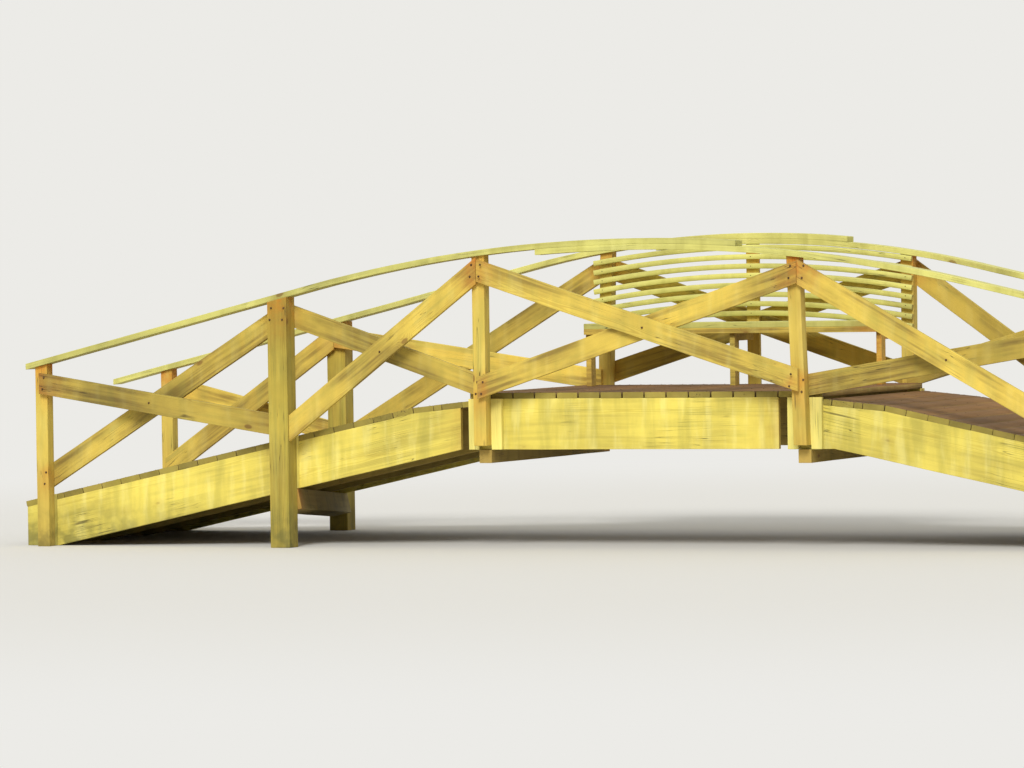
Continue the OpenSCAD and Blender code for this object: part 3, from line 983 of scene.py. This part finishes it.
@dataclass
class Substructure:
    """Joists, headers, cross beams and pile caps under the deck."""

    carpenter: Carpenter

    def build(self) -> None:
        """Dresses the pieces under the deck."""
        # The joist finish is darkened as painted shade under the deck.
        for node in ("left_ramp_joists", "span_joists", "right_ramp_joists", "header_boards", "end_boards",
                     "left_cross_beam", "right_cross_beam"):
            self.carpenter.dress(node, JOIST_WITH_PAINTED_SHADE, "joist_pine")
        for node in ("left_pile_cap", "right_pile_cap"):
            self.carpenter.dress(node, JOIST_WITH_PAINTED_SHADE, "pile_pine")


@dataclass
class Deck:
    """Deck planks, laid by one tree on the places that the frame gives, and their nails."""

    finishes: Finishes
    fasteners: Fasteners
    arris: float = 0.004
    cuts: int = 26
    width_spread: float = 0.012
    length_spread: float = 0.002
    swell: float = 0.004
    slot_least: float = 0.03
    slot_play: float = 0.008
    crown: float = 0.003
    crown_rate: float = 3.0
    damp_end: float = 0.12
    log_low: tuple[float, float, float] = (0.0, -0.03, 0.03)
    log_high: tuple[float, float, float] = (60.0, 0.03, 0.1)
    least_run: float = 0.06
    nail_share: float = 0.3
    seed: int = 23

    def tool(self) -> Tool:
        """Builds the tree that lays a plank at each point.

        Returns:
            The tree.
        """
        tool = Tool("deck_planks", ("Plank Width", "Plank Length", "Plank Thickness", "Arris", "Width Spread",
                                    "Length Spread", "Crown"), ("Cuts",))
        add, given = tool.add, tool.given
        plank = tool.saw(tool.line(1, given["Plank Length"], given["Cuts"]), 1,
                         given["Plank Width"], given["Plank Thickness"])
        parts = add(Kind.SPLIT, add("GeometryNodeInputPosition")).node.outputs
        plank = add(Kind.MARK_VECTOR, plank, "grain", add(Kind.JOIN, parts[1], parts[0], parts[2]))
        end = add(Kind.MINUS, add(Kind.TIMES, given["Plank Length"], 0.5), add(Kind.SIZE, parts[1]))
        plank = add(Kind.MARK, plank, "stain", add(Kind.STEP, end, self.damp_end, 0.0))
        spreads = (given["Width Spread"], given["Length Spread"])
        least, most = (add(Kind.JOIN, *(add(way, 1.0, spread) for spread in spreads), 1.0)
                       for way in (Kind.MINUS, Kind.PLUS))
        laid = add("GeometryNodeInstanceOnPoints", {
            "Points": given["Geometry"], "Instance": plank,
            "Rotation": add("FunctionNodeEulerToRotation", add(Kind.READ, "tilt")),
            "Scale": add(Kind.DRAW_VECTOR, least, most, given["Seed"])})
        shift = add(Kind.DRAW_VECTOR, self.log_low, self.log_high, add(Kind.PLUS, given["Seed"], 1.0))
        laid = add(Kind.MARK_VECTOR, laid, "shift", shift, domain="INSTANCE")
        tone = add(Kind.DRAW, add(Kind.PLUS, given["Seed"], 2.0))
        laid = add(Kind.MARK, laid, "tone", tone, domain="INSTANCE")
        real = add("GeometryNodeRealizeInstances", laid)
        total = add(Kind.TOGETHER, add(Kind.READ, "grain"), add(Kind.READ, "shift"))
        real = add(Kind.MARK_VECTOR, real, "grain", total)
        bow = add(Kind.MINUS, add(Kind.NOISE, total, self.crown_rate, 1.0), 0.5)
        rise = add(Kind.TIMES, bow, given["Crown"])
        tool.close(add("GeometryNodeSetPosition", {0: real, "Offset": add(Kind.JOIN, {2: rise})}))
        return tool

    def inputs(self, size: Sequence[float], spread: float, seed: int) -> dict[str, Any]:
        """Gives the tree's inputs.

        Args:
            size: Width, length and thickness of a plank.
            spread: How much the widths differ, as a share.
            seed: Seed of what is random.

        Returns:
            The value of each input.
        """
        width, length, thickness = size
        return {"Plank Width": width, "Plank Length": length, "Plank Thickness": thickness,
                "Arris": self.arris, "Cuts": self.cuts, "Width Spread": spread,
                "Length Spread": self.length_spread, "Crown": self.crown, "Seed": seed,
                "Material": self.finishes.get(DECK)}

    def build(self) -> None:
        """Lays the planks of the three stretches of deck and nails them down."""
        tool = self.tool()
        laid = []
        for node in ("left_ramp_deck", "span_deck", "right_ramp_deck"):
            planks = boards_in(node)
            tilts = [self.tilt_of([corner for corner in plank.corners if corner[1] < plank.middle[1]])
                     for plank in planks]
            sample = planks[len(planks) // 2]
            width, thickness = self.section(sample, tilts[len(planks) // 2])
            length = float(sample.high[1] - sample.low[1])
            piece = tool.run(f"{node}_planks", [plank.middle for plank in planks],
                             {"tilt": [[0.0, -angle, 0.0] for angle in tilts]},
                             self.inputs((width + self.swell, length, thickness), self.width_spread,
                                         self.seed + len(node)))
            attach(piece, "root")
            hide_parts(node)
            self.nail(planks, tilts, width, thickness)
            laid += list(zip(planks, tilts))
            log.info("%s: %d planks", node, len(planks))
        self.fill(laid, (width, length, thickness), tool)

    def fill(self, laid: Sequence[tuple[Board, float]], size: Sequence[float], tool: Tool) -> None:
        """Lays narrow boards in the slots that the full planks leave at the ramps' heads.

        Args:
            laid: Each plank and its slope, from left to right.
            size: Width, length and thickness of a plank.
            tool: The tree that lays planks.
        """
        width, length, thickness = size
        places, tilts, gaps = [], [], []
        for (left, left_tilt), (right, right_tilt) in zip(laid, laid[1:]):
            a = Vector(left.middle) + self.run(left_tilt) * width / 2
            b = Vector(right.middle) - self.run(right_tilt) * width / 2
            if (b - a).length > self.slot_least:
                tilt = left_tilt if a.z < b.z else right_tilt
                half = self.run(tilt) * (b.x - a.x) / 2
                places.append(a + half if a.z < b.z else b - half)
                tilts.append([0.0, -tilt, 0.0])
                gaps.append(b.x - a.x)
        piece = tool.run("deck_make_up_boards", places, {"tilt": tilts}, self.inputs(
            (min(gaps) - self.slot_play, length, thickness), self.length_spread, self.seed))
        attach(piece, "root")
        log.info("make-up boards: %d, slots of %.0f to %.0f mm", len(places),
                 MM_IN_M * min(gaps), MM_IN_M * max(gaps))

    @staticmethod
    def run(tilt: float) -> Vector:
        """Direction across a plank of the given slope."""
        return Vector((math.cos(tilt), 0, math.sin(tilt)))

    def tilt_of(self, outline: Sequence[np.ndarray]) -> float:
        """Slope of a plank from its four corners at one end.

        Args:
            outline: The corners.

        Returns:
            The angle in radians, rising towards +X.
        """
        pairs = [(a, b) for a in outline for b in outline if b[0] - a[0] > self.least_run]
        a, b = min(pairs, key=lambda pair: np.linalg.norm(pair[1] - pair[0]))
        return math.atan2(float(b[2] - a[2]), float(b[0] - a[0]))

    @staticmethod
    def section(plank: Board, tilt: float) -> tuple[float, float]:
        """Width and thickness of a sloped plank.

        Args:
            plank: The plank.
            tilt: Its slope.

        Returns:
            Width and thickness in metres.
        """
        run, rise = (float(v) for v in (plank.high - plank.low)[[0, 2]])
        c, s = math.cos(abs(tilt)), math.sin(abs(tilt))
        det = c * c - s * s
        return (run * c - rise * s) / det, (rise * c - run * s) / det

    def nail(self, planks: Sequence[Board], tilts: Sequence[float], width: float, thickness: float) -> None:
        """Notes two nails where each plank crosses a beam or joist.

        Args:
            planks: The planks.
            tilts: Their slopes.
            width: Width of a plank.
            thickness: Thickness of a plank.
        """
        lines = [(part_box(beam)[0][1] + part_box(beam)[1][1]) / 2
                 for beam in ("near_span_beam", "far_span_beam")]
        lines += [float(board.middle[1]) for board in boards_in("span_joists")]
        for plank, tilt in zip(planks, tilts):
            up = Vector((-math.sin(tilt), 0, math.cos(tilt)))
            for y in lines:
                for sign in (-1, 1):
                    spot = Vector((plank.middle[0], y, plank.middle[2]))
                    spot += self.run(tilt) * sign * width * self.nail_share
                    self.fasteners.add("deck_nails", spot + up * (thickness / 2 + JUST_ABOVE), up)


@dataclass
class Bench:
    """Bench on the far side: bent back slats, seat boards and frames."""

    carpenter: Carpenter
    finishes: Finishes
    fasteners: Fasteners
    arris: float = 0.0035
    stations: int = 34
    post_reach: float = 0.05
    end_depth: float = 0.002
    log_low: tuple[float, float, float] = (0.0, -0.03, 0.02)
    log_high: tuple[float, float, float] = (60.0, 0.03, 0.08)
    seed: int = 31

    def tool(self) -> Tool:
        """Builds the tree that bends a row of slats side by side along one circle.

        Returns:
            The tree.
        """
        tool = Tool("bench_slats", ("Length", "Bend Radius", "Slat Width", "Pitch", "Arris"),
                    ("Count", "Stations"))
        add, given = tool.add, tool.given
        line = add("GeometryNodeDuplicateElements", {
            0: tool.line(0, given["Length"], given["Stations"]), "Amount": given["Count"]}, domain="SPLINE")
        number = line.node.outputs[1]
        here = add("GeometryNodeInputPosition")
        x = add(Kind.SPLIT, here)
        radius = add(Kind.MINUS, given["Bend Radius"], add(Kind.TIMES, number, given["Pitch"]))
        arc = add(Kind.ROOT, add(Kind.MINUS, add(Kind.TIMES, radius, radius), add(Kind.TIMES, x, x)))
        shift = add(Kind.DRAW_VECTOR, self.log_low, self.log_high, given["Seed"], number)
        line = add(Kind.MARK_VECTOR, line, "shift", shift)
        line = add(Kind.MARK, line, "tone", add(Kind.DRAW, add(Kind.PLUS, given["Seed"], 1.0), number))
        fall = add(Kind.MINUS, arc, given["Bend Radius"])
        line = add("GeometryNodeSetPosition", {0: line, "Position": add(Kind.JOIN, {0: x, 2: fall})})
        line = add(Kind.MARK_VECTOR, line, "middle", add(Kind.STRETCH, here, (0.0, 1.0, 1.0)))
        slats = tool.saw(line, 0, given["Slat Width"], given["Slat Width"])
        local = add(Kind.APART, here, add(Kind.READ, "middle"))
        local = add(Kind.TOGETHER, local, add(Kind.READ, "shift"))
        slats = add(Kind.MARK_VECTOR, slats, "grain", local)
        tool.close(add("GeometryNodeInstanceOnPoints", {"Points": given["Geometry"], "Instance": slats}))
        return tool

    def build(self) -> None:
        """Makes the back, dresses the seat and frames, and screws the back on."""
        slats = sorted(boards_in("bench_back"), key=lambda board: -board.high[2])
        top, below = slats[0], slats[1]
        length = float(top.high[0] - top.low[0])
        ends = [corner[2] for corner in top.corners if abs(corner[0] - top.low[0]) < self.end_depth]
        sag = float(top.high[2] - max(ends))
        radius = (length ** 2 / 4 + sag ** 2) / (2 * sag)
        width = float(top.high[1] - top.low[1])
        pitch = float(top.high[2] - below.high[2])
        start = (0.0, float(top.middle[1]), float(top.high[2]) - width / 2)
        piece = self.tool().run("bench_back_slats", [start], {}, {
            "Length": length, "Bend Radius": radius, "Slat Width": width, "Pitch": pitch,
            "Count": len(slats), "Stations": self.stations, "Arris": self.arris, "Seed": self.seed,
            "Material": self.finishes.get(BENCH)})
        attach(piece, "root")
        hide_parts("bench_back")
        log.info("bench_back: %d slats", len(slats))
        self.carpenter.dress("bench_seat", BENCH, "bench_pine")
        self.carpenter.dress("bench_frames", BRACE, "bench_pine")
        posts = [float(post.middle[0]) for post in boards_in("far_posts")
                 if abs(post.middle[0]) < length / 2 + self.post_reach]
        for number in range(len(slats)):
            for x in posts:
                z = start[2] - number * pitch - x * x / (2 * radius)
                self.fasteners.add("bench_screws", (x, float(top.low[1]) - JUST_ABOVE, z), (0, -1, 0))


@dataclass
class Studio:
    """Camera of the photograph, pale floor and soft light."""

    camera_place: tuple[float, float, float] = (12.907, -35.156, 1.861)
    azimuth: float = 22.09
    elevation: float = 1.21
    roll: float = -0.88
    focal_pixels: float = 5569.0
    image_width: int = 1024
    sensor: float = 36.0
    far_clip: float = 300.0
    floor_radius: float = 70.0
    floor_sides: int = 96
    floor_fade: tuple[float, float] = (6.0, 15.0)
    floor_roughness: float = 0.9
    floor_colour: str = "#d9d7d0"
    sky_colour: str = "#ecebe7"
    fill_colour: str = "#ffffff"
    key_strength: float = 2.5
    key_azimuth: float = 12.0
    key_elevation: float = 38.0
    key_softness: float = 22.0
    fill_strength: float = 0.62

    @staticmethod
    def towards(azimuth: float, elevation: float) -> Vector:
        """Direction from the bridge to a place seen at an azimuth and elevation in degrees."""
        a, e = math.radians(azimuth), math.radians(elevation)
        return Vector((math.sin(a) * math.cos(e), -math.cos(a) * math.cos(e), math.sin(e)))

    def camera(self) -> None:
        """Sets the camera where the photograph was taken."""
        lens = bpy.data.cameras.new("camera")
        lens.sensor_width = self.sensor
        lens.lens = self.focal_pixels / self.image_width * self.sensor
        lens.clip_end = self.far_clip
        camera = add_piece("camera", lens)
        a, r = math.radians(self.azimuth), math.radians(self.roll)
        back = self.towards(self.azimuth, self.elevation)
        right = Vector((math.cos(a), math.sin(a), 0.0))
        up = back.cross(right)
        turned = Matrix((right * math.cos(r) + up * math.sin(r),
                         up * math.cos(r) - right * math.sin(r), back))
        camera.matrix_world = Matrix.Translation(self.camera_place) @ turned.transposed().to_4x4()
        bpy.context.scene.camera = camera

    def floor(self) -> None:
        """Lays the pale floor, which fades into the background far from the bridge."""
        mesh = bmesh.new()
        bmesh.ops.create_circle(mesh, cap_ends=True, segments=self.floor_sides, radius=self.floor_radius)
        data = bpy.data.meshes.new("floor")
        mesh.to_mesh(data)
        mesh.free()
        floor = add_piece("floor", data)
        material, add = new_material("pale_floor")
        reach = add(Kind.LENGTH, add("ShaderNodeTexCoord", out="Object"))
        seen = add("ShaderNodeLightPath", out="Is Camera Ray")
        near = add("ShaderNodeBsdfPrincipled", {
            "Base Color": linear(self.floor_colour), "Roughness": self.floor_roughness})
        glow = add("ShaderNodeEmission", {"Color": linear(self.sky_colour), "Strength": 1.0})
        far = add(Kind.TIMES, add(Kind.STEP, reach, *self.floor_fade), seen)
        add("ShaderNodeOutputMaterial", add("ShaderNodeMixShader", far, near, glow))
        data.materials.append(material)

    def lights(self) -> None:
        """Sets a large soft key light and an even fill from the sky."""
        lamp = bpy.data.lights.new("key", "SUN")
        lamp.energy = self.key_strength
        lamp.angle = math.radians(self.key_softness)
        source = self.towards(self.key_azimuth, self.key_elevation)
        add_piece("key", lamp).matrix_world = source.to_track_quat("Z", "Y").to_matrix().to_4x4()
        world = bpy.data.worlds.new("studio")
        bpy.context.scene.world = world
        world.use_nodes = True
        world.node_tree.nodes.clear()
        add = partial(add_node, world.node_tree)
        rays = add("ShaderNodeLightPath").node.outputs
        seen = add(Kind.LARGER, rays["Is Camera Ray"],
                   add(Kind.LARGER, rays["Is Glossy Ray"], rays["Is Transmission Ray"]))
        fill, shown = (add("ShaderNodeBackground", {"Color": linear(code), "Strength": strength})
                       for code, strength in ((self.fill_colour, self.fill_strength), (self.sky_colour, 1.0)))
        add("ShaderNodeOutputWorld", add("ShaderNodeMixShader", seen, fill, shown))

    def build(self) -> None:
        """Sets up the studio."""
        bpy.context.scene.view_settings.view_transform = "Standard"
        self.camera()
        self.floor()
        self.lights()


def main() -> None:
    """Builds the bridge's looks and the studio."""
    logging.basicConfig(level=logging.INFO, format="%(name)s: %(message)s")
    finishes = Finishes()
    carpenter = Carpenter(finishes)
    noise.seed_set(carpenter.seed)  # Blender takes the clock otherwise, and each run would warp anew
    fasteners = Fasteners(finishes)
    Studio().build()
    sides = [SideFrame(side, carpenter, fasteners) for side in Side]
    for part in sides:
        part.place_bolts()
    for part in sides:
        part.build()
    Substructure(carpenter).build()
    Deck(finishes, fasteners).build()
    Bench(carpenter, finishes, fasteners).build()
    fasteners.build()


if __name__ == "__main__":
    main()
